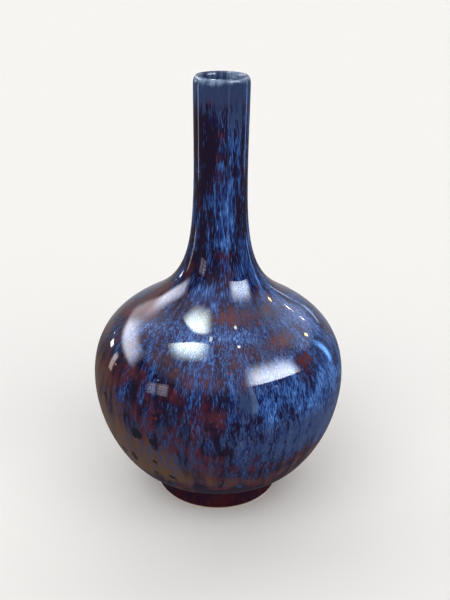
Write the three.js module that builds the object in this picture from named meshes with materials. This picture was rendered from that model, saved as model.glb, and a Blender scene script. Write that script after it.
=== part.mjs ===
// Long-necked glazed bottle vase, made as a potter makes it: a foot ring, two halves of the belly and a neck
// are thrown apart, luted together with slip, and coated with glaze outside, inside and under the foot.
// Millimetres, +Z up, the origin in the middle of the face that the foot rests on.
import * as THREE from "three";

// Heights, stacked from the table upwards
const footHeight = 24; // table to the crease under the belly
const bellyRise = 92; // crease to the widest girth
const shoulderRise = 68; // widest girth to the steepest place of the shoulder
const flareRise = 126; // that place to the waist of the neck
const neckRise = 70; // waist to the crest of the lip

// Finished outside radii, over the glaze
const footRadius = 57;
const bellyRadius = 112.5;
const shoulderRadius = 69.5;
const waistRadius = 22.5;
const mouthRadius = 23;

// Walls, glaze included on both sides
const lipWall = 5.6;
const bellyWall = 7.5;
const lipRound = 6.5; // height of the rounded lip
const footRingWall = 8; // clay only
const footBevel = 1.5; // the turned edges of the face that it rests on
const creaseRound = 3; // glaze pooled in the crease over the foot

// Layers
const glazeCoat = 0.8;
const recessCoat = 0.6;
const seat = 0.3; // clearance that each coat keeps to the clay under it
const luteThickness = 1;
const bareFoot = 2; // clay left bare at the bottom, so that the vase doesn't stick to the kiln shelf
const bareInside = 3.5; // the same inside the foot ring
const neckJointRise = 33; // steepest place of the shoulder to the joint under the neck
const lipTurnIn = 14; // how far the outside glaze runs down into the mouth

// Slopes of the outline, from the vertical, and how far each curve's handles reach, as shares of its chord
const undersideSlope = THREE.MathUtils.degToRad(83);
const shoulderSlope = THREE.MathUtils.degToRad(-58.5);
const undersidePull = { startShare: 0.27, endShare: 0.38 };
const shoulderPull = { startShare: 0.55, endShare: 0.23 };
const flarePull = { startShare: 0.345, endShare: 0.63 };
const neckPull = { startShare: 0.33, endShare: 0.33 };

// Facets: sides of every round, and steps along each curve of the outline
const sides = 40;
const creaseSteps = 2;
const undersideSteps = 7;
const shoulderSteps = 7;
const flareSteps = 7;
const neckSteps = 2;
const lipSteps = 6;
const insideShare = 0.7; // the inside of the vase, which hardly shows, takes this share of the steps

const bellyHeight = footHeight + bellyRise;
const shoulderHeight = bellyHeight + shoulderRise;
const waistHeight = shoulderHeight + flareRise;
const overallHeight = waistHeight + neckRise;
const lipBase = overallHeight - lipRound;
const clayDepth = glazeCoat + seat; // finished surface to the clay
const footJoint = footHeight - creaseRound;
const neckJoint = shoulderHeight + neckJointRise;

const glazeLook = { color: 0x1f3a6e, roughness: 0.08, metalness: 0 };
const liningLook = { color: 0x8fa6b8, roughness: 0.12, metalness: 0 };
const recessLook = { color: 0x4a3626, roughness: 0.3, metalness: 0 };
const clayLook = { color: 0x9a7a5c, roughness: 0.85, metalness: 0 };
const slipLook = { color: 0xb09878, roughness: 0.9, metalness: 0 };

// The unit vector that leaves the vertical by an angle, away from the axis if it is positive
function heading(slope) {
  return new THREE.Vector2(Math.sin(slope), Math.cos(slope));
}

// A curve that leaves one point and meets the next at the given slopes
function sweep(from, fromSlope, to, toSlope, pull) {
  const chord = from.distanceTo(to);
  const leave = from.clone().addScaledVector(heading(fromSlope), chord * pull.startShare);
  const arrive = to.clone().addScaledVector(heading(toSlope), -chord * pull.endShare);
  return new THREE.CubicBezierCurve(from, leave, arrive, to);
}

// The finished outline from the crease to the lip, as curves that run into each other without a corner
function outline() {
  const wallTop = new THREE.Vector2(footRadius, footJoint);
  const corner = new THREE.Vector2(footRadius, footHeight);
  const underside = corner.clone().addScaledVector(heading(undersideSlope), creaseRound);
  const belly = new THREE.Vector2(bellyRadius, bellyHeight);
  const shoulder = new THREE.Vector2(shoulderRadius, shoulderHeight);
  const waist = new THREE.Vector2(waistRadius, waistHeight);
  const mouth = new THREE.Vector2(mouthRadius, lipBase);
  return [
    [new THREE.QuadraticBezierCurve(wallTop, corner, underside), creaseSteps],
    [sweep(underside, undersideSlope, belly, 0, undersidePull), undersideSteps],
    [sweep(belly, 0, shoulder, shoulderSlope, shoulderPull), shoulderSteps],
    [sweep(shoulder, shoulderSlope, waist, 0, flarePull), flareSteps],
    [sweep(waist, 0, mouth, 0, neckPull), neckSteps],
  ];
}

// Points along curves, with the normal that faces out of the vase at each
function walk(curves, share) {
  const found = [];
  for (const [curve, fullSteps] of curves) {
    const steps = Math.ceil(fullSteps * share);
    for (let i = found.length ? 1 : 0; i <= steps; i++) {
      const along = curve.getTangent(i / steps);
      found.push({ at: curve.getPoint(i / steps), out: new THREE.Vector2(along.y, -along.x) });
    }
  }
  return found;
}

const outsideStations = walk(outline(), 1);
const insideStations = walk(outline().slice(1), insideShare); // without the crease, which only the outside has

// Finished wall at a height: even from the underside to the belly, then thinner up to the lip
function wallAt(height) {
  const share = THREE.MathUtils.clamp((height - bellyHeight) / (lipBase - bellyHeight), 0, 1);
  return THREE.MathUtils.lerp(bellyWall, lipWall, share);
}

// The outside at a depth under the finished surface, from the table to the base of the lip
function outside(depth) {
  const footWall = new THREE.Vector2(footRadius - depth, 0);
  return [footWall, ...outsideStations.map(({ at, out }) => at.clone().addScaledVector(out, -depth))];
}

// The inside at a depth under its own finished surface, from the edge of the floor to the base of the lip
function inside(depth) {
  return insideStations.map(({ at, out }) => at.clone().addScaledVector(out, depth - wallAt(at.y)));
}

// The rounded lip at a depth, from its outer side over the crest to its inner side, without the two ends
function lip(depth) {
  const middle = mouthRadius - lipWall / 2;
  const arc = new THREE.EllipseCurve(middle, lipBase, lipWall / 2 - depth, lipRound - depth, 0, Math.PI);
  return arc.getPoints(lipSteps).slice(1, -1);
}

// The part of a rising line between two heights, cut at both
function between(line, low, high) {
  const kept = [];
  for (let i = 0; i < line.length - 1; i++) {
    const [a, b] = [line[i], line[i + 1]];
    for (const level of [low, high]) {
      if (level > a.y && level < b.y) {
        kept.push(new THREE.Vector2(THREE.MathUtils.mapLinear(level, a.y, b.y, a.x, b.x), level));
      }
    }
    if (b.y >= low && b.y <= high) kept.push(b);
  }
  if (line[0].y >= low && line[0].y <= high) kept.push(line[0]);
  return kept.sort((a, b) => a.y - b.y);
}

// A closed section turned round the axis, as a mesh that stands on the table
function turned(name, section, look) {
  const closed = [...section, section[0].clone()];
  const geometry = new THREE.LatheGeometry(closed, sides).rotateX(Math.PI / 2);
  const mesh = new THREE.Mesh(geometry, new THREE.MeshStandardMaterial(look));
  mesh.name = name;
  return mesh;
}

// A band of the clay wall between two heights
function clayBand(low, high) {
  return [...between(outside(clayDepth), low, high), ...between(inside(clayDepth), low, high).reverse()];
}

// Foot: a turned ring with bevelled edges on the face that it rests on
function footRing() {
  const outer = footRadius - clayDepth;
  const inner = outer - footRingWall;
  const top = footJoint - luteThickness;
  const points = [
    [inner + footBevel, 0],
    [outer - footBevel, 0],
    [outer, footBevel],
    [outer, top],
    [inner, top],
    [inner, footBevel],
  ];
  return turned("foot_ring", points.map(([x, y]) => new THREE.Vector2(x, y)), clayLook);
}

// Lower half of the belly: a thrown bowl with a thick floor
function lowerBelly() {
  const wall = between(outside(clayDepth), footJoint, bellyHeight - luteThickness / 2);
  const cavity = between(inside(clayDepth), footJoint, bellyHeight - luteThickness / 2);
  const floorMiddle = new THREE.Vector2(0, cavity[0].y);
  const undersideMiddle = new THREE.Vector2(0, footJoint);
  return turned("lower_belly", [undersideMiddle, ...wall, ...cavity.reverse(), floorMiddle], clayLook);
}

// Upper half of the belly with the shoulder
function upperBelly() {
  const section = clayBand(bellyHeight + luteThickness / 2, neckJoint);
  return turned("upper_belly", section, clayLook);
}

// Neck: a thrown tube that flares at its base and ends in the rounded lip
function neck() {
  const low = neckJoint + luteThickness;
  const wall = between(outside(clayDepth), low, lipBase);
  const bore = between(inside(clayDepth), low, lipBase).reverse();
  return turned("neck", [...wall, ...lip(clayDepth), ...bore], clayLook);
}

// Lutes: the slip that joins the thrown pieces, one layer in each joint
function lutes() {
  const outer = footRadius - clayDepth;
  const inner = outer - footRingWall;
  const low = footJoint - luteThickness;
  const footSection = [
    new THREE.Vector2(inner, low),
    new THREE.Vector2(outer, low),
    new THREE.Vector2(outer, footJoint),
    new THREE.Vector2(inner, footJoint),
  ];
  const bellySection = clayBand(bellyHeight - luteThickness / 2, bellyHeight + luteThickness / 2);
  const neckSection = clayBand(neckJoint, neckJoint + luteThickness);
  return [
    turned("foot_lute", footSection, slipLook),
    turned("belly_lute", bellySection, slipLook),
    turned("neck_lute", neckSection, slipLook),
  ];
}

// Outside glaze: from the bare edge of the foot, over the whole vase and the lip, a little way into the mouth
function outsideGlaze() {
  const turnEnd = lipBase - lipTurnIn;
  const face = [...between(outside(0), bareFoot, lipBase), ...lip(0), ...between(inside(0), turnEnd, lipBase).reverse()];
  const back = [
    ...between(outside(glazeCoat), bareFoot, lipBase),
    ...lip(glazeCoat),
    ...between(inside(glazeCoat), turnEnd, lipBase).reverse(),
  ];
  return turned("outside_glaze", [...face, ...back.reverse()], glazeLook);
}

// Inside glaze: lines the bore and the belly down to the floor, so that the vase holds water
function insideGlaze() {
  const turnEnd = lipBase - lipTurnIn;
  const face = between(inside(0), footJoint, turnEnd);
  const back = between(inside(glazeCoat), footJoint, turnEnd);
  const floor = new THREE.Vector2(0, face[0].y);
  const floorBack = new THREE.Vector2(0, back[0].y);
  return turned("inside_glaze", [floorBack, ...back, ...face.reverse(), floor], liningLook);
}

// Recess glaze: a thin wash under the floor and down the inner wall of the foot ring
function recessGlaze() {
  const wall = footRadius - clayDepth - footRingWall - seat;
  const ceiling = footJoint - seat;
  const points = [
    [0, ceiling - recessCoat],
    [wall - recessCoat, ceiling - recessCoat],
    [wall - recessCoat, bareInside],
    [wall, bareInside],
    [wall, ceiling],
    [0, ceiling],
  ];
  return turned("recess_glaze", points.map(([x, y]) => new THREE.Vector2(x, y)), recessLook);
}

const vase = new THREE.Group();
vase.add(footRing(), lowerBelly(), upperBelly(), neck(), ...lutes());
vase.add(outsideGlaze(), insideGlaze(), recessGlaze());

export default vase;
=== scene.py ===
import bpy
import math
from mathutils import Matrix, Vector, noise


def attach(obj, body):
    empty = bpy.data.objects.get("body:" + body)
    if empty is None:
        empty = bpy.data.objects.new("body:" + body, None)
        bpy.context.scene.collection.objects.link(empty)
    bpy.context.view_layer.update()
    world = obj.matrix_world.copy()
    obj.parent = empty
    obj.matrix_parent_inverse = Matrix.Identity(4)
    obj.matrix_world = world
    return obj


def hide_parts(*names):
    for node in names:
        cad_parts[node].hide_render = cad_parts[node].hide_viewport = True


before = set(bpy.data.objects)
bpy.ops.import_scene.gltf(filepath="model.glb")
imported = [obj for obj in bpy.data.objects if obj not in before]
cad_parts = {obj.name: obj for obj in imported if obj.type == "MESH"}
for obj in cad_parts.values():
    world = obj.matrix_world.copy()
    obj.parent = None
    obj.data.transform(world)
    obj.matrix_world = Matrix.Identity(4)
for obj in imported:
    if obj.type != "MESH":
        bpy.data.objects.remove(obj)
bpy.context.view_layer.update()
scene = bpy.context.scene
scene.view_settings.view_transform = "Standard"
print("frame loaded")


# Small helpers

def tone(red, green, blue):  # a colour as a paint program shows it, 0 to 255, made linear
    linear = []
    for part in (red, green, blue):
        share = part / 255
        linear.append(share / 12.92 if share <= 0.04045 else ((share + 0.055) / 1.055) ** 2.4)
    return (*linear, 1.0)


def direction(azimuth, elevation):  # azimuth 0 is the camera's side, positive is to its right
    turn, lift = math.radians(azimuth), math.radians(elevation)
    across = math.cos(lift)
    return Vector((across * math.sin(turn), -across * math.cos(turn), math.sin(lift)))


def ramp01(low, high, value):  # a smooth step from 0 at low to 1 at high
    share = min(max((value - low) / (high - low), 0.0), 1.0)
    return share * share * (3 - 2 * share)


def pickNothing():
    if bpy.context.object and bpy.context.object.mode != "OBJECT":
        bpy.ops.object.mode_set(mode="OBJECT")
    bpy.ops.object.select_all(action="DESELECT")


def feed(tree, socket, value):
    if isinstance(value, bpy.types.NodeSocket):
        tree.links.new(value, socket)
    else:
        socket.default_value = value


def put(tree, kind, options=None, **values):  # a new node, its options and its inputs
    made = tree.nodes.new(kind)
    for name, value in (options or {}).items():
        setattr(made, name, value)
    for name, value in values.items():
        feed(tree, made.inputs[name.replace("_", " ")], value)
    return made


def calc(tree, operation, *values):
    made = put(tree, "ShaderNodeMath", {"operation": operation})
    for socket, value in zip(made.inputs, values):
        feed(tree, socket, value)
    return made.outputs[0]


def plus(tree, first, second):
    return calc(tree, "ADD", first, second)


def minus(tree, first, second):
    return calc(tree, "SUBTRACT", first, second)


def times(tree, first, second):
    return calc(tree, "MULTIPLY", first, second)


def wobble(tree, base, pattern, amount):  # a value moved both ways by a pattern between 0 and 1
    return plus(tree, base, times(tree, minus(tree, pattern, 0.5), amount))


def ease(tree, value, low, high, first=0.0, last=1.0):  # a smooth step between two values
    ends = {"From_Min": low, "From_Max": high, "To_Min": first, "To_Max": last}
    smooth = {"interpolation_type": "SMOOTHSTEP"}
    return put(tree, "ShaderNodeMapRange", smooth, Value=value, **ends).outputs[0]


def blend(tree, share, under, over):  # two colours
    made = put(tree, "ShaderNodeMix", {"data_type": "RGBA"})
    for index, value in ((0, share), (6, under), (7, over)):
        feed(tree, made.inputs[index], value)
    return made.outputs[2]


def mixed(tree, share, under, over):  # the same for plain values
    made = put(tree, "ShaderNodeMix", {"data_type": "FLOAT"})
    for index, value in ((0, share), (2, under), (3, over)):
        feed(tree, made.inputs[index], value)
    return made.outputs[0]


def grain(tree, where, scale, detail=2.0, rough=0.5, warp=0.0):
    values = {"Scale": scale, "Detail": detail, "Roughness": rough, "Distortion": warp}
    return put(tree, "ShaderNodeTexNoise", None, Vector=where, **values).outputs[0]


def placeOf(tree):  # where on the piece, in metres
    return put(tree, "ShaderNodeTexCoord").outputs["Object"]


def partsOf(tree, vector):  # its x, y and z
    return put(tree, "ShaderNodeSeparateXYZ", None, Vector=vector).outputs


def paintedValue(tree, name):  # a value laid on the piece's points
    return put(tree, "ShaderNodeAttribute", {"attribute_name": name}).outputs["Fac"]


# Camera: the photograph's own place, lens and slight lean

cameraSet = {
    "place": (0.0, -0.66136, 0.48707), "down": 24.545, "aside": 0.45, "lean": 0.906,
    "lens": 49.2, "sensor": 36, "farthest": 60,
}

pickNothing()
bpy.ops.object.camera_add(location=cameraSet["place"])
camera = bpy.context.object
camera.data.lens = cameraSet["lens"]
camera.data.sensor_width = cameraSet["sensor"]
camera.data.clip_end = cameraSet["farthest"]
camera.matrix_world = (
    Matrix.Translation(cameraSet["place"])
    @ Matrix.Rotation(math.radians(-cameraSet["aside"]), 4, "Z")
    @ Matrix.Rotation(math.radians(90 - cameraSet["down"]), 4, "X")
    @ Matrix.Rotation(math.radians(cameraSet["lean"]), 4, "Z")
)
scene.camera = camera
print("camera placed")


# Light: broad soft suns for the colour, and cards that only the gloss sees

sunSet = {  # azimuth, elevation, strength, width of the soft disc in degrees
    "keySun": (-35, 45, 1.18, 50),
    "rightSun": (45, 40, 1.15, 60),
    "backSun": (160, 40, 0.82, 60),
    "leftSun": (-130, 40, 0.72, 60),
    "topSun": (0, 88, 0.42, 90),
}
sunsAway = 3  # metres, so that the lamps stand clear of the vase

for name, (azimuth, elevation, strength, wide) in sunSet.items():
    bpy.ops.object.light_add(type="SUN", location=direction(azimuth, elevation) * sunsAway)
    sun = bpy.context.object
    sun.name = name
    sun.data.energy = strength
    sun.data.angle = math.radians(wide)
    sun.rotation_euler = direction(azimuth, elevation).to_track_quat("Z", "Y").to_euler()
    sun.visible_glossy = False

# Corners are directions from a place on the glaze: low left, low right, high left, high right.
# Two numbers are an azimuth and an elevation, three are a vector. Away is in metres.
# The fades are shares of the card: left, right, low, high. Panes are counted across and up.
cardSet = {
    "topPanel": {
        "corners": (
            (-0.577, -0.24, 0.79), (-0.098, -0.38, 0.91), (-0.55, 0.14, 0.84), (-0.07, -0.02, 1.0),
        ),
        "seenFrom": (-0.020, -0.065, 0.184), "away": 4, "colour": (240, 255, 250), "level": 78,
        "fades": (0.45, 0.36, 1.10, 0.06),
    },
    "rightPanel": {
        "corners": ((25, 29), (88, 18), (32, 62), (97, 45)),
        "seenFrom": (0.034, -0.060, 0.180), "away": 4, "colour": (226, 236, 255), "level": 74,
        "fades": (0.34, 0.26, 0.03, 0.85),
    },
    "leftPanel": {
        "corners": ((-146, 14), (-84, 14), (-138, 34), (-88, 40)),
        "seenFrom": (-0.060, -0.038, 0.180), "away": 4, "colour": (206, 208, 224), "level": 35,
        "fades": (0.30, 0.30, 0.25, 0.60),
    },
    "leftGlow": {
        "corners": ((-170, -1), (-107, 28), (-162, 36), (-98, 60)),
        "seenFrom": (-0.050, -0.030, 0.185), "away": 6.0, "colour": (206, 196, 198), "level": 10,
        "fades": (0.20, 0.55, 0.12, 0.35),
    },
    "rightGlow": {
        "corners": ((100, 24), (170, -1), (90, 62), (162, 38)),
        "seenFrom": (0.050, -0.030, 0.185), "away": 6.0, "colour": (200, 200, 216), "level": 6,
        "fades": (0.30, 0.25, 0.25, 0.45),
    },
    "palePane": {
        "corners": ((-67, 1), (-42, 7), (-69, 17), (-45, 26)),
        "seenFrom": (-0.060, -0.085, 0.150), "away": 4, "colour": (196, 190, 206), "level": 36,
        "fades": (0.25, 0.15, 0.15, 0.25), "panes": (2, 5),
    },
    "lowLeftSpark": {
        "corners": ((-130, 3), (-124, 3), (-130, 8), (-124, 8)),
        "seenFrom": (-0.098, -0.020, 0.160), "away": 4, "colour": (255, 255, 250), "level": 40,
        "fades": (0.10, 0.10, 0.10, 0.10),
    },
    "rightStrip": {
        "corners": ((123.5, -16), (116.5, -16), (121.5, 23), (113.5, 23)),
        "seenFrom": (0.020, -0.012, 0.300), "away": 1.0, "colour": (112, 172, 255), "level": 42,
        "fades": (0.35, 0.35, 0.05, 0.90),
    },
    "backArc": {
        "corners": ((156, 3.8), (144, 3.8), (156, 7.3), (144, 7.3)),
        "seenFrom": (0.060, 0.010, 0.190), "away": 4, "colour": (225, 230, 245), "level": 6,
        "fades": (0.20, 0.20, 0.20, 0.20),
    },
    "leftStrip": {
        "corners": ((-112, -16), (-105, -16), (-112, 4), (-105, 4)),
        "seenFrom": (-0.020, -0.012, 0.300), "away": 1.0, "colour": (226, 208, 204), "level": 28,
        "fades": (0.25, 0.25, 0.05, 0.30),
    },
    "aboveGlow": {
        "corners": ((-1.8, -1.5, 1.0), (1.9, -1.5, 1.0), (-1.7, 0.8, 1.0), (1.8, 0.8, 1.0)),
        "seenFrom": (0.0, -0.060, 0.180), "away": 20.0, "colour": (205, 192, 196), "level": 3.6,
        "fades": (0.20, 0.20, 0.10, 0.40),
    },
    "frontGlow": {
        "corners": ((-1.0, -1.0, 0.16), (1.0, -1.0, 0.16), (-1.0, -1.0, 0.95), (1.0, -1.0, 0.95)),
        "seenFrom": (0.0, -0.060, 0.180), "away": 5.5, "colour": (216, 196, 202), "level": 4.0,
        "fades": (0.20, 0.20, 0.60, 0.02),
    },
    "frontStrip": {
        "corners": ((26, -19), (32, -19), (25, 24), (32, 24)),
        "seenFrom": (0.010, -0.024, 0.260), "away": 0.7, "colour": (190, 205, 235), "level": 11,
        "fades": (0.35, 0.35, 0.05, 0.20),
    },
}
barSet = {"edge": (0.02, 0.20), "level": 0.35}  # the dim bars between a card's panes


def cardPaint(name, colour, level, fades, panes):  # shines in the middle, clear at its faded edges
    made = bpy.data.materials.new(name)
    made.use_nodes = True
    tree = made.node_tree
    tree.nodes.clear()
    across, up, _ = partsOf(tree, put(tree, "ShaderNodeUVMap").outputs[0])
    shown = 1.0
    for inset, fade in zip((across, minus(tree, 1.0, across), up, minus(tree, 1.0, up)), fades):
        shown = times(tree, ease(tree, inset, 0.0, fade), shown)
    for along, count in zip((across, up), panes):
        share = calc(tree, "PINGPONG", times(tree, along, count), 0.5)
        shown = times(tree, shown, ease(tree, share, *barSet["edge"], barSet["level"], 1.0))
    shine = put(tree, "ShaderNodeEmission", None, Color=tone(*colour), Strength=level)
    clear = put(tree, "ShaderNodeBsdfTransparent")
    both = put(tree, "ShaderNodeMixShader", None, Fac=shown)
    feed(tree, both.inputs[1], clear.outputs[0])
    feed(tree, both.inputs[2], shine.outputs[0])
    put(tree, "ShaderNodeOutputMaterial", None, Surface=both.outputs[0])
    return made


def addCard(name, corners, seenFrom, away, colour, level, fades, panes=()):
    pickNothing()
    bpy.ops.mesh.primitive_plane_add(size=1)
    card = bpy.context.object
    card.name = name
    for vertex, corner in zip(card.data.vertices, corners):
        towards = direction(*corner) if len(corner) == 2 else Vector(corner)
        vertex.co = Vector(seenFrom) + towards.normalized() * away
    card.data.materials.append(cardPaint(name, colour, level, fades, panes))
    card.visible_camera = False
    card.visible_diffuse = False
    card.visible_shadow = False


for name, values in cardSet.items():
    addCard(name, **values)

# Small bright points in the gloss: direction, width in degrees, colour, level
sparkSet = {
    "goldSparkA": ((0.71, 0.53, 0.46), 3.6, (255, 225, 160), 90),
    "sparkB": ((0.575, 0.73, 0.365), 2.0, (255, 250, 240), 44),
    "sparkC": ((0.22, -0.03, 0.97), 2.2, (255, 255, 255), 68),
    "sparkD": ((-0.78, -0.48, 0.41), 1.6, (255, 250, 250), 52),
    "sparkE": ((-0.71, 0.70, 0.12), 1.6, (240, 245, 255), 24),
    "sparkF": ((-0.30, 0.94, -0.02), 2.0, (255, 225, 190), 16),
    "goldSparkG": ((-0.96, 0.29, 0.04), 3.0, (255, 205, 140), 24),
    "sparkH": ((-0.09, 0.01, 1.0), 2.6, (230, 245, 245), 48),
    "goldSparkI": ((0.77, -0.55, 0.33), 2.2, (255, 215, 160), 52),
    "goldSparkJ": ((0.78, -0.38, 0.50), 2.2, (255, 220, 170), 52),
}
sparkPlace = {
    "aside": 0.07, "front": -0.045, "height": 0.185, "away": 3.8, "fades": (0.3, 0.3, 0.3, 0.3),
}

for name, (towards, wide, colour, level) in sparkSet.items():
    aim = Vector(towards).normalized()
    side = aim.cross(Vector((0, 0, 1))).normalized() * math.tan(math.radians(wide / 2))
    rise = side.cross(aim)
    square = (aim - side - rise, aim + side - rise, aim - side + rise, aim + side + rise)
    seenFrom = (aim.x * sparkPlace["aside"], sparkPlace["front"], sparkPlace["height"])
    addCard(name, square, seenFrom, sparkPlace["away"], colour, level, sparkPlace["fades"])

# The room around: light at the horizon, dim above the fade, which is in sines of the elevation
roomSet = {
    "horizon": (238, 236, 232), "horizonLevel": 0.92,
    "above": (150, 140, 135), "aboveLevel": 0.16, "fade": (0.20, 0.56),
}


def dimmed(colour, level):
    return [part * level for part in tone(*colour)[:3]] + [1]


world = bpy.data.worlds.new("studioRoom")
scene.world = world
world.use_nodes = True
roomTree = world.node_tree
roomTree.nodes.clear()
lookAt = put(roomTree, "ShaderNodeTexCoord").outputs["Generated"]
upShare = ease(roomTree, partsOf(roomTree, lookAt)[2], *roomSet["fade"])
horizonColour = dimmed(roomSet["horizon"], roomSet["horizonLevel"])
aboveColour = dimmed(roomSet["above"], roomSet["aboveLevel"])
roomColour = blend(roomTree, upShare, horizonColour, aboveColour)
roomLight = put(roomTree, "ShaderNodeBackground", None, Color=roomColour, Strength=1.0)
put(roomTree, "ShaderNodeOutputWorld", None, Surface=roomLight.outputs[0])

floorSet = {"wide": 24.0, "colour": (236, 235, 233), "rough": 0.9, "gloss": 0.0}

pickNothing()
bpy.ops.mesh.primitive_plane_add(size=floorSet["wide"], location=(0, 0, 0))
floor = bpy.context.object
floor.name = "paleFloor"
floorPaint = bpy.data.materials.new("palePaper")
floorPaint.use_nodes = True
floorShader = floorPaint.node_tree.nodes["Principled BSDF"]
floorShader.inputs["Base Color"].default_value = tone(*floorSet["colour"])
floorShader.inputs["Roughness"].default_value = floorSet["rough"]
floorShader.inputs["Specular IOR Level"].default_value = floorSet["gloss"]
floor.data.materials.append(floorPaint)
print("lights, room and floor placed")


# Outline of the vase, in millimetres: the same named values as the part

vaseSet = {
    "footRadius": 57.0, "bellyRadius": 112.5, "shoulderRadius": 69.5,
    "waistRadius": 22.5, "mouthRadius": 23.0,
    "footHeight": 24.0, "bellyHeight": 116.0, "shoulderHeight": 184.0,
    "waistHeight": 310.0, "fullHeight": 380.0,
    "creaseRound": 3.0, "lipRound": 6.5, "lipWall": 5.6, "bellyWall": 7.5,
    "undersideSlope": 83.0, "shoulderSlope": -58.5,
    "undersidePull": (0.27, 0.38), "shoulderPull": (0.55, 0.23),
    "flarePull": (0.345, 0.63), "neckPull": (0.33, 0.33),
    "bareFoot": 2.0, "glazeEdge": 0.7, "glazeCoat": 0.8, "seat": 0.3,
    "turnIn": 14.0, "turnInset": 0.2, "sidesRound": 160, "stepsPerCurve": 22,
}
lipBase = vaseSet["fullHeight"] - vaseSet["lipRound"]
footJoint = vaseSet["footHeight"] - vaseSet["creaseRound"]
footClay = vaseSet["footRadius"] - vaseSet["glazeCoat"] - vaseSet["seat"]  # radius of its clay
roundHandle = 0.5523  # how far the handles of a quarter circle reach, as a share of its radius
weldDistance = 0.000004  # metres, closes the seam and the pole of a turned piece


def slopeStep(degrees, length):  # a step that leaves the vertical by an angle, outwards if above 0
    return Vector((math.sin(math.radians(degrees)), math.cos(math.radians(degrees)))) * length


def sweepHandles(start, startSlope, end, endSlope, pull):
    chord = (end - start).length
    leave = start + slopeStep(startSlope, chord * pull[0])
    arrive = end - slopeStep(endSlope, chord * pull[1])
    return leave, arrive


def bodyCurves():  # four points for each curve, from the crease to the base of the lip
    wallTop = Vector((vaseSet["footRadius"], footJoint))
    corner = Vector((vaseSet["footRadius"], vaseSet["footHeight"]))
    underside = corner + slopeStep(vaseSet["undersideSlope"], vaseSet["creaseRound"])
    belly = Vector((vaseSet["bellyRadius"], vaseSet["bellyHeight"]))
    shoulder = Vector((vaseSet["shoulderRadius"], vaseSet["shoulderHeight"]))
    waist = Vector((vaseSet["waistRadius"], vaseSet["waistHeight"]))
    mouth = Vector((vaseSet["mouthRadius"], lipBase))
    crease = (wallTop.lerp(corner, 2 / 3), underside.lerp(corner, 2 / 3))
    under = sweepHandles(underside, vaseSet["undersideSlope"], belly, 0, vaseSet["undersidePull"])
    over = sweepHandles(belly, 0, shoulder, vaseSet["shoulderSlope"], vaseSet["shoulderPull"])
    flare = sweepHandles(shoulder, vaseSet["shoulderSlope"], waist, 0, vaseSet["flarePull"])
    neck = sweepHandles(waist, 0, mouth, 0, vaseSet["neckPull"])
    return [
        (wallTop, *crease, underside),
        (underside, *under, belly),
        (belly, *over, shoulder),
        (shoulder, *flare, waist),
        (waist, *neck, mouth),
    ]


def straight(start, end):
    return (start, start.lerp(end, 1 / 3), start.lerp(end, 2 / 3), end)


def quarter(start, corner, end):  # a quarter of an ellipse round a corner
    return (start, start.lerp(corner, roundHandle), end.lerp(corner, roundHandle), end)


def outsideCurves():
    edgeCorner = Vector((vaseSet["footRadius"], vaseSet["bareFoot"]))
    edgeLow = edgeCorner - Vector((vaseSet["glazeEdge"], 0))
    edgeHigh = edgeCorner + Vector((0, vaseSet["glazeEdge"]))
    body = bodyCurves()
    mouth = body[-1][3]
    crest = Vector((vaseSet["mouthRadius"] - vaseSet["lipWall"] / 2, vaseSet["fullHeight"]))
    inner = Vector((vaseSet["mouthRadius"] - vaseSet["lipWall"], lipBase))
    turnEnd = Vector((inner.x - vaseSet["turnInset"], lipBase - vaseSet["turnIn"]))
    return [
        quarter(edgeLow, edgeCorner, edgeHigh),
        straight(edgeHigh, body[0][0]),
        *body,
        quarter(mouth, Vector((mouth.x, crest.y)), crest),
        quarter(crest, Vector((inner.x, crest.y)), inner),
        straight(inner, turnEnd),
    ]


def inMetres(point):  # a point of the outline, stood up in the plane of the axis
    return (point.x / 1000, 0, point.y / 1000)


def drawLine(name, curves, steps):  # a Bezier curve through the points, made a line of mesh edges
    pickNothing()
    bpy.ops.curve.primitive_bezier_curve_add(radius=1, location=(0, 0, 0))
    line = bpy.context.object
    line.name = name
    line.data.resolution_u = steps
    spline = line.data.splines[0]
    spline.bezier_points.add(len(curves) - 1)
    for point in spline.bezier_points:
        point.handle_left_type = "FREE"
        point.handle_right_type = "FREE"
    spline.bezier_points[0].handle_left = inMetres(curves[0][0])
    for index, curve in enumerate(curves):
        start, end = spline.bezier_points[index], spline.bezier_points[index + 1]
        start.co = inMetres(curve[0])
        start.handle_right = inMetres(curve[1])
        end.handle_left = inMetres(curve[2])
        end.co = inMetres(curve[3])
        end.handle_right = end.co
    bpy.ops.object.convert(target="MESH")
    return bpy.context.object


def measureFlow(line):  # the way that the glaze runs, as metres along the line
    flow = line.data.attributes.new("flow", "FLOAT", "POINT")
    along = 0.0
    before = line.data.vertices[0].co.copy()
    for vertex in line.data.vertices:
        along += (vertex.co - before).length
        before = vertex.co.copy()
        flow.data[vertex.index].value = along


# Turned once round the axis, with the seam closed; a hollow piece faces the axis
def spinLine(line, sides, hollow=False):
    bpy.ops.object.mode_set(mode="EDIT")
    bpy.ops.mesh.select_all(action="SELECT")
    bpy.ops.mesh.spin(steps=sides, angle=math.tau, center=(0, 0, 0), axis=(0, 0, 1))
    bpy.ops.mesh.select_all(action="SELECT")
    bpy.ops.mesh.remove_doubles(threshold=weldDistance)
    bpy.ops.mesh.normals_make_consistent(inside=False)
    if hollow:
        bpy.ops.mesh.flip_normals()
    bpy.ops.object.mode_set(mode="OBJECT")
    bpy.ops.object.shade_smooth()


def thicken(piece, wall):  # away from the side that its faces look to
    solid = piece.modifiers.new("coat", "SOLIDIFY")
    solid.thickness = wall / 1000
    solid.offset = -1
    solid.use_even_offset = True
    bpy.ops.object.modifier_apply(modifier="coat")


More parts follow.
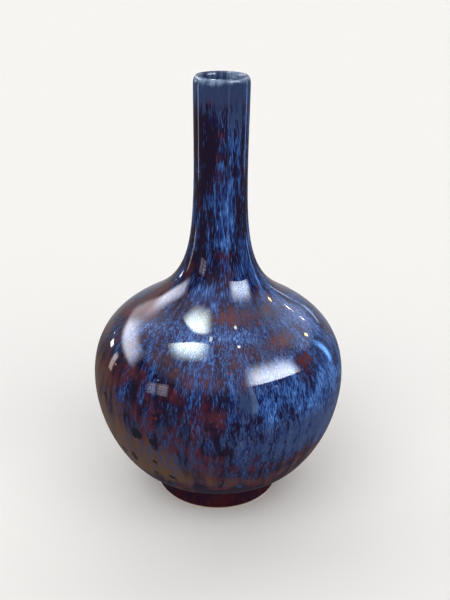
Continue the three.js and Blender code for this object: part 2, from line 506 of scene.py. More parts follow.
# Where the glaze lies thick or thin. Round the whole vase: height, blue, rust, bare wash, milk.
# Low on the belly the bare wash is partly the glaze run thin and partly a painted reflection of a
# brown table
glazeBands = [
    (380, 0.70, 0.0, 0.0, 1.20), (377, 0.60, 0.0, 0.0, 1.00), (374, 0.45, 0.0, 0.0, 0.80),
    (366, 0.40, 0.0, 0.0, 0.72), (358, 0.36, 0.0, -0.2, 0.36), (349, 0.28, 0.0, -0.2, 0.12),
    (335, 0.23, 0.0, -0.25, -0.08), (310, 0.29, 0.0, -0.25, -0.1), (285, 0.34, 0.0, -0.25, -0.1),
    (258, 0.40, 0.0, -0.25, -0.1), (240, 0.42, 0.04, -0.15, 0.0), (222, 0.42, 0.10, -0.1, 0.0),
    (206, 0.52, 0.10, 0.0, 0.0), (198, 0.50, 0.12, 0.0, 0.0), (191, 0.44, 0.22, 0.0, 0.08),
    (185, 0.58, 0.12, 0.0, 0.10), (177, 0.50, 0.18, 0.0, 0.06), (165, 0.46, 0.12, 0.0, 0.04),
    (150, 0.34, 0.10, 0.0, 0.0), (135, 0.38, 0.08, 0.0, 0.05), (118, 0.38, 0.06, 0.0, 0.20),
    # From here down the bare wash is partly the glaze run thin and partly a painted reflection of
    # a brown table
    (100, 0.35, 0.05, 0.05, 0.26), (80, 0.22, 0.06, 0.24, 0.24), (60, 0.10, 0.05, 0.46, 0.16),
    (40, -0.05, 0.0, 0.5, 0.0), (27, -0.2, 0.0, 0.3, 0.0), (23, -0.40, 0.10, 0.0, 0.0),
    (9, -0.45, 0.10, 0.0, 0.0), (5, -0.20, 0.0, -0.1, 0.0), (0, 0.10, 0.0, -0.2, 0.0),
]

# On the side that faces the camera: azimuth, height, wide, tall in degrees and mm,
# and then what each adds to blue, rust, bare wash and milk; the bare wash is partly a painted
# reflection
glazePatches = {
    "dark upper left of the neck": (-42, 338, 34, 18, -0.24, 0.0, -0.1, -0.20),
    "navy strands, left of the neck": (-30, 312, 20, 20, -0.02, 0.0, -0.1, 0.0),
    "blue right of the neck": (35, 310, 28, 30, 0.14, 0.0, 0.0, 0.0),
    "blue high on the right of the neck": (30, 347, 28, 14, 0.20, 0.0, 0.1, 0.22),
    "blue middle of the neck": (15, 300, 16, 26, 0.10, 0.0, 0.0, 0.0),
    "black streak on the neck": (-46, 284, 16, 22, -0.22, 0.0, 0.0, 0.0),
    "blue low on the neck": (-6, 258, 30, 16, 0.16, 0.0, 0.0, 0.0),
    "dark low left of the neck": (-42, 236, 28, 24, -0.32, -0.15, -0.22, 0.0),
    "blue ring under the neck": (-16, 206, 30, 8, 0.22, 0.0, 0.0, 0.0),
    "blue ring, right": (35, 204, 22, 8, 0.14, 0.0, 0.0, 0.0),
    "big rust patch": (5, 192, 14, 7, -0.26, 0.48, 0.0, 0.0),
    "rust patch, right": (48, 191, 14, 5, -0.12, 0.50, 0.0, 0.15),
    "violet haze": (29, 196, 15, 6, -0.08, 0.40, 0.0, 0.30),
    "dark by the shoulder": (-37, 195, 14, 5, -0.20, 0.22, 0.0, 0.0),
    "hot blue streaks": (14, 184, 22, 5, 0.40, -0.2, 0.0, 0.0),
    "blue on the left shoulder": (-44, 182, 26, 8, 0.30, -0.2, 0.0, 0.0),
    "brown on the far left shoulder": (-66, 188, 20, 12, -0.30, 0.35, 0.0, 0.0),
    # Painted reflection: brown and rust at the shoulder's left rim stand in for a brown room
    # reflected at the edge
    "painted brown reflection on the left shoulder rim": (-86, 196, 22, 26, -0.50, 0.22, 0.10, 0.0),
    "rust belt": (34, 176, 24, 6, -0.20, 0.60, 0.0, 0.14),
    "rust spot, right": (48, 163, 6, 4, -0.25, 0.65, 0.0, 0.0),
    "rust spot, middle": (11, 171, 6, 3.5, -0.15, 0.6, 0.0, 0.0),
    "pale blue, far right": (68, 183, 18, 12, 0.34, 0.0, 0.0, 0.0),
    "brown, left of the middle": (-14, 160, 18, 8, 0.0, 0.30, 0.0, 0.0),
    "bright drips": (-2, 160, 12, 12, 0.16, 0.0, 0.0, 0.0),
    "maroon, left": (-36, 152, 22, 12, -0.10, 0.0, 0.0, 0.0),
    "brown, lower left": (-38, 122, 22, 14, -0.14, 0.10, 0.12, 0.0),
    "dark, far left": (-58, 146, 12, 14, -0.26, 0.0, 0.20, 0.0),
    "deep blue, right": (38, 136, 26, 18, 0.26, -0.2, -0.4, -0.1),
    "blue edge, right": (66, 122, 20, 40, 0.40, -0.1, -0.2, 0.0),
    "maroon middle": (4, 124, 11, 9, -0.26, 0.12, 0.0, -0.05),
    "blue runs, middle right": (18, 146, 9, 16, 0.14, 0.0, 0.0, 0.0),
    "blue on the foot, right": (40, 6, 18, 5, 0.42, -0.1, 0.0, 0.0),
    "pale drip": (12, 144, 4, 12, 0.20, 0.0, 0.0, 0.60),
    # Painted reflection: tan at the belly's left edge stands in for a brown room reflected at the
    # edge
    "painted brown reflection on the left edge": (-76, 128, 20, 36, -0.42, 0.0, 0.62, 0.0),
    # Painted shade: darker glaze just above the crease, where the belly turns under; partly the
    # glaze pooled dark there
    "dark glaze and painted shade over the crease": (4, 43, 34, 9, -0.26, 0.0, -1.0, -0.25),
    "maroon and painted shade over the crease, right": (30, 48, 28, 8, -0.24, 0.12, -0.2, -0.2),
    "maroon, lower left of the middle": (-20, 138, 22, 14, -0.28, 0.08, 0.0, 0.0),
    "dark, low middle": (-3, 106, 18, 14, -0.02, 0.0, -0.30, 0.0),
    "milk, lower right": (30, 102, 26, 20, 0.38, 0.0, -0.40, 0.06),
    "streaked edge, low right": (56, 92, 14, 18, 0.34, -0.2, 0.0, 0.0),
    # Painted reflection: brown and rust at the low right edge stand in for a brown room reflected
    # there
    "painted brown reflection, low right edge": (52, 70, 18, 12, -0.20, 0.40, 0.15, -0.3),
    # Partly painted reflection: tan of a brown table reflected low on the left
    "tan wash and painted reflection, left": (-55, 96, 20, 24, -0.38, -0.1, 0.65, -0.2),
    "slate drips": (-27, 86, 20, 18, -0.30, 0.0, 0.42, 0.16),
    # The same: tan wash and painted reflection of a brown table
    "tan wash and painted reflection, low left": (-30, 66, 26, 12, -0.2, 0.0, 0.40, -0.1),
}

# Dark spots that burst through the pale wash: azimuth, height, wide, tall, strength
inkSpots = {
    "big hook": (-37, 103, 3.6, 5, 1.0),
    "hook's tail": (-33, 107, 3.5, 1.8, 0.8),
    "edge spot": (-51, 71, 2.4, 4, 0.9),
    "long drop": (-43, 71, 2.5, 6, 0.95),
    "small spot": (-30, 75, 2.4, 3.4, 0.9),
    "low spot": (-31, 59, 3.0, 3.6, 0.85),
    "navy drop": (-28, 99, 2.5, 9, 0.7),
    "fleck near the crease": (-9, 57, 3.0, 2.2, 0.9),
    "drop at the left edge": (-59, 121, 2.4, 3.4, 0.8),
    "second drop at the left edge": (-54, 113, 2.0, 4.2, 0.75),
    "fleck lower on the left": (-22, 62, 2.4, 2.4, 0.9),
    "fleck by the left edge": (-56, 84, 2.0, 3.4, 0.85),
}

layingSet = {
    "patchReach": 9,  # the squared distance, in widths, past which a patch lays nothing
    "mouthRadius": 21.5, "mouthFrom": 300,  # in mm
    "inMouth": (0.9, 0.0, 0.0, 1.0),
    "behind": (-0.25, 0.45),  # where the far side, which no patch covers, sets in and is full
    "drifts": ((0.10, 0.42), (0.10, 0.55), (0.0, 0.0), (0.0, 0.3)),  # all round, more behind
    "firstDrift": {"across": 2.1, "up": 16, "place": (3.1, 7.7, 1.3)},
    "secondDrift": {"across": 2.6, "up": 24, "place": (9.4, 2.2, 5.8)},
    "thinnest": -0.6, "thickest": 1.2, "stored": 1,  # stored one higher, and so never below nought
    "lying": (0.30, 0.92),  # upward part of the normal, from the steep walls to the shoulder
}


def patchPull(spot, azimuth, height, wide, tall):  # 1 in the middle of a patch, fading outwards
    turn = math.degrees(math.atan2(spot.x, -spot.y)) - azimuth
    turn = (turn + 180) % 360 - 180
    aside, above = turn / wide, (spot.z * 1000 - height) / tall
    away = aside * aside + above * above
    return math.exp(-away) if away < layingSet["patchReach"] else 0.0


def bandAt(height):  # the four amounts at a height, between the bands above and below it
    for high, low in zip(glazeBands, glazeBands[1:]):
        if height >= low[0]:
            break
    share = min(max((height - low[0]) / (high[0] - low[0]), 0), 1)
    return [low[i] + (high[i] - low[i]) * share for i in range(1, 5)]


def driftAt(around, height, drift):
    wide, tall = drift["across"], drift["up"]
    place = Vector((around.x * wide, around.y * wide, height * tall))
    return noise.noise(place + Vector(drift["place"]))


def amountsAt(spot):  # blue, rust, bare wash and milk at a point of the outside; the bare wash is partly a painted reflection
    height, radius = spot.z * 1000, spot.xy.length * 1000
    around = spot.xy.normalized()
    behind = ramp01(*layingSet["behind"], around.y)
    inMouth = radius < layingSet["mouthRadius"] and height > layingSet["mouthFrom"]
    amounts = list(layingSet["inMouth"]) if inMouth else bandAt(height)
    first = driftAt(around, spot.z, layingSet["firstDrift"])
    second = driftAt(around, spot.z, layingSet["secondDrift"])
    for index, (drift, reach) in enumerate(zip((first, second, 0.0, first), layingSet["drifts"])):
        amounts[index] += drift * (reach[0] + reach[1] * behind)
    for azimuth, level, wide, tall, *shares in glazePatches.values():
        pull = patchPull(spot, azimuth, level, wide, tall)
        if pull:
            amounts = [amount + share * pull for amount, share in zip(amounts, shares)]
    return amounts


def layGlaze(piece):  # paints the four amounts, the bare wash partly a painted reflection, and the dark spots onto the points
    mesh = piece.data
    mesh.color_attributes.new("coat", "FLOAT_COLOR", "POINT")
    mesh.attributes.new("ink", "FLOAT", "POINT")
    mesh.attributes.new("lying", "FLOAT", "POINT")
    coat = mesh.color_attributes["coat"]
    ink, lying = mesh.attributes["ink"], mesh.attributes["lying"]
    thinnest, thickest = layingSet["thinnest"], layingSet["thickest"]
    for vertex in mesh.vertices:
        kept = [min(max(amount, thinnest), thickest) for amount in amountsAt(vertex.co)]
        coat.data[vertex.index].color = [amount + layingSet["stored"] for amount in kept]
        dark = 0.0
        for azimuth, level, wide, tall, strength in inkSpots.values():
            dark = max(dark, strength * patchPull(vertex.co, azimuth, level, wide, tall))
        ink.data[vertex.index].value = dark
        lying.data[vertex.index].value = ramp01(*layingSet["lying"], vertex.normal.z)


# The slight unevenness of a hand-thrown, thickly glazed wall: how high in mm, how fine, its start,
# and the heights in metres over which it sets in above the foot and ends at the lip
waveSet = {
    "slow": (0.10, 26, (4.0, 1.0, 2.0)), "quick": (0.02, 75, (1.0, 6.0, 3.0)),
    "setsIn": (0.016, 0.045), "ends": (0.386, 0.365),
}


def waveSurface(piece):
    outwards = [vertex.normal.copy() for vertex in piece.data.vertices]
    for vertex, outward in zip(piece.data.vertices, outwards):
        lift = 0.0
        for high, scale, place in (waveSet["slow"], waveSet["quick"]):
            lift += noise.noise(vertex.co * scale + Vector(place)) * high / 1000
        height = vertex.co.z
        share = ramp01(*waveSet["setsIn"], height) * ramp01(*waveSet["ends"], height)
        vertex.co += outward * lift * share


def buildOutside():
    line = drawLine("outsideGlaze", outsideCurves(), vaseSet["stepsPerCurve"])
    measureFlow(line)
    spinLine(line, vaseSet["sidesRound"])
    layGlaze(line)
    waveSurface(line)
    thicken(line, vaseSet["glazeCoat"])
    return line


outsideGlaze = buildOutside()
print("outside glaze turned:", len(outsideGlaze.data.polygons), "faces")


# Streaks: noise that runs down with the glaze, as wide on the narrow neck as on the wide belly

def newGroup(name, inputs, outputs):
    tree = bpy.data.node_groups.new(name, "ShaderNodeTree")
    for label, value in inputs.items():
        socket = tree.interface.new_socket(label, in_out="INPUT", socket_type="NodeSocketFloat")
        socket.default_value = value
    for label in outputs:
        tree.interface.new_socket(label, in_out="OUTPUT", socket_type="NodeSocketFloat")
    return tree, put(tree, "NodeGroupInput"), put(tree, "NodeGroupOutput")


girthSet = {
    "neck": (0.0225, 0.55), "belly": (0.098, 1.0),  # radius in metres, share of strands along it
    "between": (0.034, 0.060),  # the radii between which the neck's longer strands give way
    "least": 0.002, "swayAround": 9.0, "swayAlong": 70.0,
}


def buildStreaks():
    inputs = {"Across": 500.0, "Along": 60.0, "Shift": 0.0, "Sway": 0.0, "Detail": 2.0}
    tree, given, result = newGroup("glazeStreaks", inputs, ["Value"])
    x, y, _ = partsOf(tree, placeOf(tree))
    away = calc(tree, "SQRT", plus(tree, times(tree, x, x), times(tree, y, y)))
    away = calc(tree, "MAXIMUM", away, girthSet["least"])
    aroundX = calc(tree, "DIVIDE", x, away)
    aroundY = calc(tree, "DIVIDE", y, away)
    flow = paintedValue(tree, "flow")
    swayX = times(tree, aroundX, girthSet["swayAround"])
    swayY = times(tree, aroundY, girthSet["swayAround"])
    swayZ = times(tree, flow, girthSet["swayAlong"])
    swayAt = put(tree, "ShaderNodeCombineXYZ", None, X=swayX, Y=swayY, Z=swayZ)
    swayed = minus(tree, grain(tree, swayAt.outputs[0], 1.0), 0.5)
    bend = times(tree, swayed, given.outputs["Sway"])
    level = times(tree, flow, given.outputs["Along"])
    found = []
    for girth, reach in (girthSet["neck"], girthSet["belly"]):
        spread = times(tree, given.outputs["Across"], girth)
        nudge = times(tree, times(tree, bend, given.outputs["Across"]), 0.001)  # sway is in mm
        turnedX = plus(tree, times(tree, aroundX, spread), times(tree, nudge, aroundY))
        turnedY = minus(tree, times(tree, aroundY, spread), times(tree, nudge, aroundX))
        down = plus(tree, times(tree, level, reach), given.outputs["Shift"])
        spot = put(tree, "ShaderNodeCombineXYZ", None, X=turnedX, Y=turnedY, Z=down)
        found.append(grain(tree, spot.outputs[0], 1.0, given.outputs["Detail"]))
    wide = ease(tree, away, *girthSet["between"])
    feed(tree, result.inputs["Value"], mixed(tree, wide, found[0], found[1]))
    return tree


streakGroup = buildStreaks()


def streaks(tree, name):
    labels = ("Across", "Along", "Shift", "Sway", "Detail")
    values = dict(zip(labels, glazeSet["strands"][name]))
    return put(tree, "ShaderNodeGroup", {"node_tree": streakGroup}, **values).outputs[0]


def newPaint(name):
    made = bpy.data.materials.new(name)
    made.use_nodes = True
    return made, made.node_tree, made.node_tree.nodes["Principled BSDF"]


def dress(tree, shader, colour, rough, height, values):  # rough and height are patterns
    strength, depth = values["bump"]
    bump = put(tree, "ShaderNodeBump", None, Strength=strength, Distance=depth, Height=height)
    roughness = plus(tree, times(tree, rough, values["roughGrain"]), values["rough"])
    feed(tree, shader.inputs["Base Color"], colour)
    feed(tree, shader.inputs["Normal"], bump.outputs[0])
    feed(tree, shader.inputs["Roughness"], roughness)
    shader.inputs["Specular IOR Level"].default_value = values["gloss"]


glazeSet = {
    "black": (20, 10, 34), "maroon": (64, 26, 38), "rust": (84, 44, 48), "oxblood": (58, 15, 15),
    "fleck": (100, 42, 38), "navy": (16, 21, 62), "deepBlue": (17, 48, 114),
    "blue": (50, 86, 147), "quiet": (60, 72, 104), "paleBlue": (99, 144, 215),
    # tan: the glaze run thin, and also a painted reflection of a brown table low on the belly
    "tan": (80, 57, 42), "slate": (40, 57, 92), "ink": (13, 12, 26), "lip": (130, 151, 181),
    "glassSteep": 0.13, "glassFlat": 0.26, "glassOnStrands": 0.02, "glassRough": 0.03,
    "rough": 0.22, "roughGrain": 0.2, "bump": (0.4, 0.0006), "gloss": 0.0,
    "raisedStrands": 0.08, "fleckCells": 120.0,
    "strands": {  # how many per metre across and along, shift, sway in mm, detail
        "drip": (150, 24, 13.0, 5.0, 2.0),  # broad runs, about 10 mm apart
        "wisp": (330, 70, 31.0, 5.0, 2.0),  # between the runs and the strands in width
        "run": (1250, 190, 0.0, 2.5, 2.0),  # strands on the steep walls, about 1 mm across
        "curl": (850, 330, 51.0, 6.0, 2.0),  # the same where they lie flat
        "hairRun": (2200, 320, 7.0, 2.5, 1.0),  # and both once more, finer
        "hairCurl": (1500, 560, 61.0, 6.0, 1.0),
    },
    "grains": {  # scale, detail, roughness
        "cloud": (60.0, 3.0, 0.55), "ragged": (260.0, 2.0, 0.6), "wave": (22.0, 2.0),
    },
    "fades": {  # the values between which a layer comes in; "noise" spreads a noise to 0 and 1
        "noise": (0.30, 0.70), "flat": (0.30, 1.05), "flatGlass": (0.0, 0.70),
        "haze": (0.10, 0.62), "deep": (0.35, 0.95), "curledLace": (0.10, 0.90),
        "stroke": (0.82, 1.22), "tip": (1.16, 1.66), "calm": (0.03, 0.25),
        "thinWashAndReflection": (0.1, 0.6), "red": (0.25, 0.80), "rust": (0.20, 0.70),
        "rustThere": (0.0, 0.10), "foot": (0.030, 0.022), "wash": (0.25, 0.90),
        "milk": (0.08, 0.62), "lip": (0.95, 1.30), "ink": (0.32, 0.50),
        "fleckSize": (0.24, 0.12), "fleckPicked": (0.84, 0.88), "fleckThere": (0.03, 0.12),
    },
    "shares": {  # how much one layer has of another, or how far a pattern moves its edge
        "dripInBlue": 0.42, "wispInBlue": 0.34, "cloudInBlue": -0.36, "blueInStrokes": 0.80,
        "strandInLace": 0.62, "hairInLace": 0.38, "strokes": 0.92, "strokesOnWashAndReflection": 0.30,
        "tipsWhenCalm": 0.2, "cloudInMottle": 0.6, "dripInMottle": 0.4, "washInRed": 1.2,
        "mottleInRust": 0.5, "hairInRust": 0.25, "dripInWashAndReflection": 0.4, "haze": 0.9,
        "wispInMilk": 0.45, "laceInMilk": 0.35, "milk": 0.80, "wispInLip": 0.2, "lip": 0.85,
        "raggedInk": 1.7, "fleck": 0.7,
    },
}


def paintOutside():
    grains, shares = glazeSet["grains"], glazeSet["shares"]

    def fade(name, value, first=0.0, last=1.0):
        return ease(tree, value, *glazeSet["fades"][name], first, last)

    def tint(name, share, under):  # a colour of the glaze over what lies under it
        return blend(tree, share, under, tone(*glazeSet[name]))

    made, tree, shader = newPaint("streakedGlaze")
    coat = put(tree, "ShaderNodeAttribute", {"attribute_name": "coat"})
    parts = put(tree, "ShaderNodeSeparateColor", None, Color=coat.outputs["Color"]).outputs
    stored = (parts[0], parts[1], parts[2], coat.outputs["Alpha"])
    blueHere, rustHere, washAndReflectionHere, milkHere = [
        minus(tree, amount, layingSet["stored"]) for amount in stored
    ]
    inkHere = paintedValue(tree, "ink")
    lying = paintedValue(tree, "lying")
    flat = fade("flat", lying)
    place = placeOf(tree)

    drip = fade("noise", streaks(tree, "drip"))
    wisp = fade("noise", streaks(tree, "wisp"))
    strand = mixed(tree, flat, streaks(tree, "run"), streaks(tree, "curl"))
    strand = fade("noise", strand)
    hair = mixed(tree, flat, streaks(tree, "hairRun"), streaks(tree, "hairCurl"))
    hair = fade("noise", hair)
    cloud = fade("noise", grain(tree, place, *grains["cloud"]))

    # How much blue floats on the dark ground, as a haze, strokes and pale tips
    afloat = wobble(tree, blueHere, drip, shares["dripInBlue"])
    afloat = wobble(tree, afloat, wisp, shares["wispInBlue"])
    afloat = wobble(tree, afloat, cloud, shares["cloudInBlue"])
    afloat = calc(tree, "MINIMUM", afloat, 1.0)
    cover = calc(tree, "MAXIMUM", afloat, 0.0)
    strandPart = times(tree, strand, shares["strandInLace"])
    lace = plus(tree, strandPart, times(tree, hair, shares["hairInLace"]))
    lace = mixed(tree, flat, lace, fade("curledLace", lace))
    wanted = plus(tree, lace, times(tree, afloat, shares["blueInStrokes"]))
    strokeShare = fade("stroke", wanted)
    onWashAndReflection = fade("thinWashAndReflection", washAndReflectionHere, shares["strokes"], shares["strokesOnWashAndReflection"])
    strokeShare = times(tree, strokeShare, onWashAndReflection)
    calm = fade("calm", milkHere)  # the strokes turn grey and quiet where the glaze is milky
    tipsLeft = ease(tree, calm, 0.0, 1.0, 1.0, shares["tipsWhenCalm"])
    tipShare = times(tree, fade("tip", wanted), tipsLeft)

    # Ground: black to maroon, rust where the glaze ran thin, oxblood on the foot, a tan wash that
    # is partly a painted reflection of a brown table
    cloudPart = times(tree, cloud, shares["cloudInMottle"])
    mottle = plus(tree, cloudPart, times(tree, drip, shares["dripInMottle"]))
    darker = times(tree, calc(tree, "MINIMUM", washAndReflectionHere, 0.0), shares["washInRed"])
    ground = tint("maroon", fade("red", plus(tree, mottle, darker)), tone(*glazeSet["black"]))
    rustEdge = wobble(tree, rustHere, mottle, shares["mottleInRust"])
    rustEdge = wobble(tree, rustEdge, hair, shares["hairInRust"])
    rustShare = times(tree, fade("rust", rustEdge), fade("rustThere", rustHere))
    ground = tint("rust", rustShare, ground)
    oxblood = tint("oxblood", mottle, tone(*glazeSet["black"]))
    ground = blend(tree, fade("foot", partsOf(tree, place)[2]), ground, oxblood)
    # Tan wash, partly a painted reflection of a brown table
    washAndReflectionEdge = wobble(tree, washAndReflectionHere, drip, shares["dripInWashAndReflection"])
    ground = tint("tan", fade("wash", washAndReflectionEdge), ground)

    # Blue over it, then the milk, the pale lip and the dark spots
    veil = tint("deepBlue", fade("deep", cover), tone(*glazeSet["navy"]))
    colour = blend(tree, times(tree, fade("haze", cover), shares["haze"]), ground, veil)
    colour = blend(tree, strokeShare, colour, tint("quiet", calm, tone(*glazeSet["blue"])))
    colour = tint("paleBlue", tipShare, colour)
    milkEdge = wobble(tree, milkHere, wisp, shares["wispInMilk"])
    milkEdge = wobble(tree, milkEdge, lace, shares["laceInMilk"])
    colour = tint("slate", fade("milk", milkEdge, 0.0, shares["milk"]), colour)
    lipShare = fade("lip", plus(tree, milkHere, times(tree, wisp, shares["wispInLip"])))
    colour = tint("lip", times(tree, lipShare, shares["lip"]), colour)
    ragged = grain(tree, place, *grains["ragged"])
    inkEdge = wobble(tree, inkHere, ragged, times(tree, inkHere, shares["raggedInk"]))
    colour = tint("ink", fade("ink", inkEdge), colour)

    # Small round flecks where iron burst through
    cells = put(tree, "ShaderNodeTexVoronoi", None, Vector=place, Scale=glazeSet["fleckCells"])
    picked = put(tree, "ShaderNodeSeparateColor", None, Color=cells.outputs["Color"]).outputs[0]
    fleck = times(tree, fade("fleckSize", cells.outputs["Distance"]), fade("fleckPicked", picked))
    fleck = times(tree, fleck, fade("fleckThere", rustHere))
    colour = tint("fleck", times(tree, fleck, shares["fleck"]), colour)

    # Raised strands on a slow wave left by throwing, and clear glass on top
    wave = grain(tree, place, *grains["wave"])
    height = plus(tree, times(tree, lace, glazeSet["raisedStrands"]), wave)
    dress(tree, shader, colour, lace, height, glazeSet)
    glassy = plus(tree, times(tree, lace, glazeSet["glassOnStrands"]), glazeSet["glassSteep"])
    glassy = plus(tree, glassy, times(tree, fade("flatGlass", lying), glazeSet["glassFlat"]))
    feed(tree, shader.inputs["Coat Weight"], glassy)
    shader.inputs["Coat Roughness"].default_value = glazeSet["glassRough"]
    return made


outsideGlaze.data.materials.append(paintOutside())
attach(outsideGlaze, "root")
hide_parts("outside_glaze")
print("streaked glaze painted")


# Inside glaze: the pale lining, a wall away from the outline, down the neck and over the floor

liningSet = {
    "pale": (150, 166, 182), "grey": (92, 108, 128), "speck": (44, 52, 70),
    "sides": 128, "steps": 16, "floorSteps": 8,
    "gloss": 0.4, "rough": 0.08, "roughGrain": 0.05, "bump": (0.2, 0.0006),
    "cloud": (70.0, 3.0, 0.55), "fine": (420.0, 2.0, 0.5),  # scale, detail, roughness
    "paleFade": (0.36, 0.66), "speckFade": (0.60, 0.74),
}


def wallAt(height):  # finished wall in millimetres: even up to the belly, then thinner to the lip
    share = min(max((height - vaseSet["bellyHeight"]) / (lipBase - vaseSet["bellyHeight"]), 0), 1)
    return vaseSet["bellyWall"] + (vaseSet["lipWall"] - vaseSet["bellyWall"]) * share


def sinkLine(line):  # moves a line of points in by the wall
    spots = [vertex.co.copy() for vertex in line.data.vertices]
    for vertex in line.data.vertices:
        index = vertex.index
        along = (spots[min(index + 1, len(spots) - 1)] - spots[max(index - 1, 0)]).normalized()
        wall = wallAt(spots[index].z * 1000) / 1000
        vertex.co = spots[index] + Vector((-along.z, 0, along.x)) * wall


def buildInside():
    line = drawLine("insideGlaze", bodyCurves()[1:], liningSet["steps"])
    sinkLine(line)
    turnEnd = (lipBase - vaseSet["turnIn"]) / 1000
    bpy.ops.object.mode_set(mode="EDIT")
    bpy.ops.mesh.select_all(action="SELECT")
    bpy.ops.mesh.bisect(plane_co=(0, 0, turnEnd), plane_no=(0, 0, 1), clear_outer=True)
    bpy.ops.object.mode_set(mode="OBJECT")
    lowest = min(line.data.vertices, key=lambda vertex: vertex.co.z)
    for vertex in line.data.vertices:
        vertex.select = vertex.index == lowest.index
    inward = -lowest.co.x / liningSet["floorSteps"]
    bpy.ops.object.mode_set(mode="EDIT")
    bpy.ops.mesh.select_mode(type="VERT")
    for step in range(liningSet["floorSteps"]):
        bpy.ops.mesh.extrude_region_move(TRANSFORM_OT_translate={"value": (inward, 0, 0)})
    bpy.ops.object.mode_set(mode="OBJECT")
    spinLine(line, liningSet["sides"], hollow=True)
    thicken(line, vaseSet["glazeCoat"])
    return line


def paintInside():
    made, tree, shader = newPaint("liningGlaze")
    place = placeOf(tree)
    cloud = grain(tree, place, *liningSet["cloud"])
    fine = grain(tree, place, *liningSet["fine"])
    paleShare = ease(tree, cloud, *liningSet["paleFade"])
    speckShare = ease(tree, fine, *liningSet["speckFade"])
    colour = blend(tree, paleShare, tone(*liningSet["grey"]), tone(*liningSet["pale"]))
    colour = blend(tree, speckShare, colour, tone(*liningSet["speck"]))
    dress(tree, shader, colour, fine, cloud, liningSet)
    return made


insideGlaze = buildInside()
insideGlaze.data.materials.append(paintInside())
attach(insideGlaze, "root")
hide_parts("inside_glaze")
print("inside glaze turned and painted")


# Foot ring: turned clay, bare on the face that it rests on and just above it

footSet = {
    "wall": 8.0, "lute": 1.0, "soft": 1.5, "sides": 128, "steps": 6,
    "clay": (156, 118, 80), "burnt": (112, 74, 44), "iron": (58, 36, 24), "pale": (190, 160, 122),
    "rough": 0.74, "scales": (38.0, 900.0, 420.0),  # of cloud, grit and specks
}


def buildFoot():
    outer, inner = footClay, footClay - footSet["wall"]
    top, soft = footJoint - footSet["lute"], footSet["soft"]
    outside = ((outer, top), (outer, soft), (outer - soft, 0))
    inside = ((inner + soft, 0), (inner, soft), (inner, top))
    corners = [Vector(spot) for spot in outside + inside]
    line = drawLine("footRing", [
        straight(corners[0], corners[1]),
        quarter(corners[1], Vector((outer, 0)), corners[2]),
        straight(corners[2], corners[3]),
        quarter(corners[3], Vector((inner, 0)), corners[4]),
        straight(corners[4], corners[5]),
        straight(corners[5], corners[0]),
    ], footSet["steps"])
    spinLine(line, footSet["sides"])
    return line


claySet = {  # for all three clays: the toasted edge in metres, and how the grain shows
    "edge": (0.0006, 0.0026), "cloudInEdge": 0.5, "toasted": (0.3, 1.2),
    "cloud": (3.0, 0.6), "grit": (2.0, 0.6), "specks": (0.16, 0.10),
    "paleGrit": (0.55, 0.72), "roughGrain": 0.15, "bump": (0.5, 0.0003), "gloss": 0.5,
}


def buildClayGrain():
    inputs = {"Cloud Scale": 38.0, "Grit Scale": 900.0, "Speck Scale": 420.0}
    tree, given, result = newGroup("clayGrain", inputs, ["Toasted", "Grit", "Specks"])
    place = placeOf(tree)
    cloud = grain(tree, place, given.outputs["Cloud Scale"], *claySet["cloud"])
    grit = grain(tree, place, given.outputs["Grit Scale"], *claySet["grit"])
    speckScale = given.outputs["Speck Scale"]
    specks = put(tree, "ShaderNodeTexVoronoi", None, Vector=place, Scale=speckScale)
    edge = ease(tree, partsOf(tree, place)[2], *claySet["edge"])
    toasted = plus(tree, edge, times(tree, cloud, claySet["cloudInEdge"]))
    feed(tree, result.inputs["Toasted"], ease(tree, toasted, *claySet["toasted"]))
    feed(tree, result.inputs["Grit"], grit)
    feed(tree, result.inputs["Specks"], ease(tree, specks.outputs["Distance"], *claySet["specks"]))
    return tree


clayGroup = buildClayGrain()


def paintClay(name, values):  # bare fired clay: grit, iron specks and a toasted edge
    made, tree, shader = newPaint(name)
    scales = dict(zip(("Cloud Scale", "Grit Scale", "Speck Scale"), values["scales"]))
    clay = put(tree, "ShaderNodeGroup", {"node_tree": clayGroup}, **scales)
    grit = clay.outputs["Grit"]
    paleShare = ease(tree, grit, *claySet["paleGrit"])
    colour = blend(tree, clay.outputs["Toasted"], tone(*values["clay"]), tone(*values["burnt"]))
    colour = blend(tree, paleShare, colour, tone(*values["pale"]))
    colour = blend(tree, clay.outputs["Specks"], colour, tone(*values["iron"]))
    dress(tree, shader, colour, grit, grit, {**claySet, **values})
    return made


footRing = buildFoot()
footRing.data.materials.append(paintClay("bareClay", footSet))
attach(footRing, "root")
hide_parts("foot_ring")
print("foot ring turned and painted")


# Recess glaze: a thin brown wash under the floor and down the inner wall of the foot

recessSet = {
    "bare": 3.5, "soft": 2.5, "coat": 0.6, "sides": 128, "steps": 10,
    "brown": (78, 56, 40), "thin": (124, 94, 66), "pool": (34, 24, 26),
    "gloss": 0.35, "rough": 0.22, "roughGrain": 0.2, "bump": (0.3, 0.0005),
    "cloud": (32.0, 3.0, 0.6, 0.6), "fine": (260.0, 2.0, 0.5),  # scale, detail, roughness, warp
    "thinFade": (0.35, 0.62), "poolFade": (0.44, 0.34), "spotFade": (0.62, 0.78), "spots": 0.6,
}


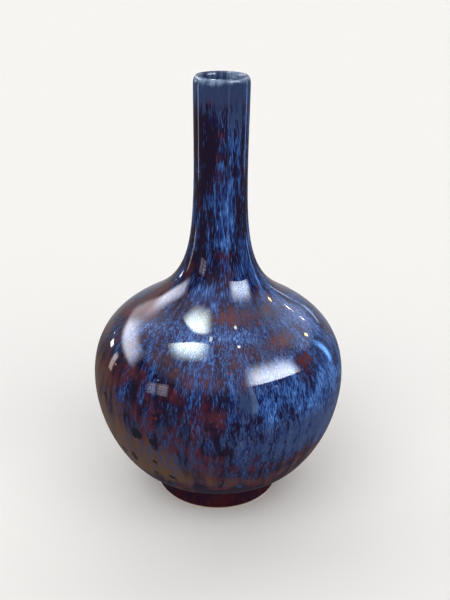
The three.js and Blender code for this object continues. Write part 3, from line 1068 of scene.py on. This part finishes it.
def buildRecess():
    inset = vaseSet["seat"] + recessSet["coat"]
    wall = footClay - footSet["wall"] - inset
    ceiling = footJoint - inset
    near = Vector((wall - recessSet["soft"], ceiling))
    under = Vector((wall, ceiling - recessSet["soft"]))
    line = drawLine("recessGlaze", [
        straight(Vector((0, ceiling)), near),
        quarter(near, Vector((wall, ceiling)), under),
        straight(under, Vector((wall, recessSet["bare"]))),
    ], recessSet["steps"])
    spinLine(line, recessSet["sides"], hollow=True)
    thicken(line, recessSet["coat"])
    return line


def paintRecess():
    made, tree, shader = newPaint("footWash")
    place = placeOf(tree)
    cloud = grain(tree, place, *recessSet["cloud"])
    fine = grain(tree, place, *recessSet["fine"])
    thinShare = ease(tree, cloud, *recessSet["thinFade"])
    poolShare = ease(tree, cloud, *recessSet["poolFade"])
    spotShare = ease(tree, fine, *recessSet["spotFade"], 0.0, recessSet["spots"])
    colour = blend(tree, thinShare, tone(*recessSet["brown"]), tone(*recessSet["thin"]))
    colour = blend(tree, poolShare, colour, tone(*recessSet["pool"]))
    colour = blend(tree, spotShare, colour, tone(*recessSet["pool"]))
    dress(tree, shader, colour, fine, cloud, recessSet)
    return made


recessGlaze = buildRecess()
recessGlaze.data.materials.append(paintRecess())
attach(recessGlaze, "root")
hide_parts("recess_glaze")
print("recess glaze turned and painted")


# The clay pieces and the slip between them stay as they come, under the glaze

bodySet = {
    "clay": (176, 150, 118), "burnt": (150, 118, 84), "iron": (70, 48, 34),
    "pale": (198, 178, 148), "rough": 0.77, "scales": (38.0, 900.0, 420.0),
}
slipSet = {
    "clay": (186, 164, 132), "burnt": (172, 146, 112), "iron": (120, 96, 70),
    "pale": (206, 190, 162), "rough": 0.82, "scales": (38.0, 1300.0, 420.0),  # finer grit
}

firedBody = paintClay("firedBody", bodySet)
slipPaint = paintClay("slip", slipSet)
for nodeName in ("lower_belly", "upper_belly", "neck"):
    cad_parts[nodeName].material_slots[0].material = firedBody
for nodeName in ("foot_lute", "belly_lute", "neck_lute"):
    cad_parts[nodeName].material_slots[0].material = slipPaint
print("clay and slip painted")
